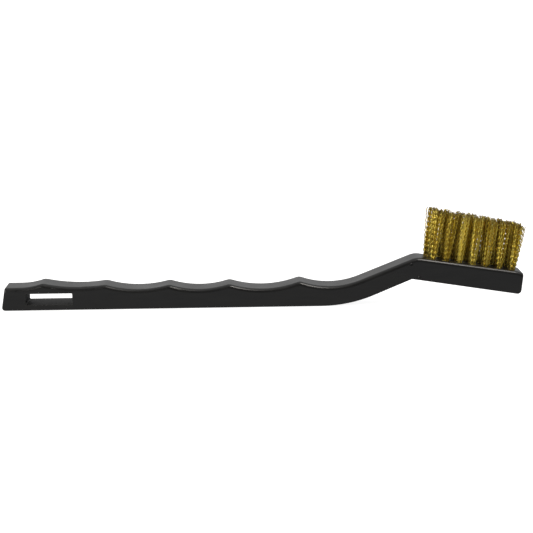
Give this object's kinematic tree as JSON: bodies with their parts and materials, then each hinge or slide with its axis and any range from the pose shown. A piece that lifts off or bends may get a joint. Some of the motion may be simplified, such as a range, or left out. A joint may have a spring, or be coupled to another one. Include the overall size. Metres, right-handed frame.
{
  "type": "wire brush",
  "caption": "Slim hand wire brush: cranked black plastic handle with finger crests and a hang slot, and a narrow head of crimped brass wire tufts.",
  "frame": {"origin": "middle of the brush's bounding box, at the level of the handle's flat spine (the underside)", "axes": "+X runs from the butt to the head, +Y across the handle, +Z the way the bristles point"},
  "size_m": [0.1845, 0.0106, 0.0338],
  "materials": {
    "handle_plastic": "black moulded plastic, satin with a fine grain",
    "tuft_wire": "crimped brass wire, drawn and slightly dulled",
    "anchor_wire": "flat drawn anchor wire"
  },
  "bodies": {
    "root": {"handle": "handle_plastic", "tuft_front_1": "tuft_wire", "tuft_front_2": "tuft_wire", "tuft_front_3": "tuft_wire", "tuft_front_4": "tuft_wire", "tuft_front_5": "tuft_wire", "tuft_front_6": "tuft_wire", "tuft_front_7": "tuft_wire", "tuft_middle_1": "tuft_wire", "tuft_middle_2": "tuft_wire", "tuft_middle_3": "tuft_wire", "tuft_middle_4": "tuft_wire", "tuft_middle_5": "tuft_wire", "tuft_middle_6": "tuft_wire", "tuft_middle_7": "tuft_wire", "tuft_back_1": "tuft_wire", "tuft_back_2": "tuft_wire", "tuft_back_3": "tuft_wire", "tuft_back_4": "tuft_wire", "tuft_back_5": "tuft_wire", "tuft_back_6": "tuft_wire", "tuft_back_7": "tuft_wire", "anchor_front_1": "anchor_wire", "anchor_front_2": "anchor_wire", "anchor_front_3": "anchor_wire", "anchor_front_4": "anchor_wire", "anchor_front_5": "anchor_wire", "anchor_front_6": "anchor_wire", "anchor_front_7": "anchor_wire", "anchor_middle_1": "anchor_wire", "anchor_middle_2": "anchor_wire", "anchor_middle_3": "anchor_wire", "anchor_middle_4": "anchor_wire", "anchor_middle_5": "anchor_wire", "anchor_middle_6": "anchor_wire", "anchor_middle_7": "anchor_wire", "anchor_back_1": "anchor_wire", "anchor_back_2": "anchor_wire", "anchor_back_3": "anchor_wire", "anchor_back_4": "anchor_wire", "anchor_back_5": "anchor_wire", "anchor_back_6": "anchor_wire", "anchor_back_7": "anchor_wire"}
  },
  "joints": []
}
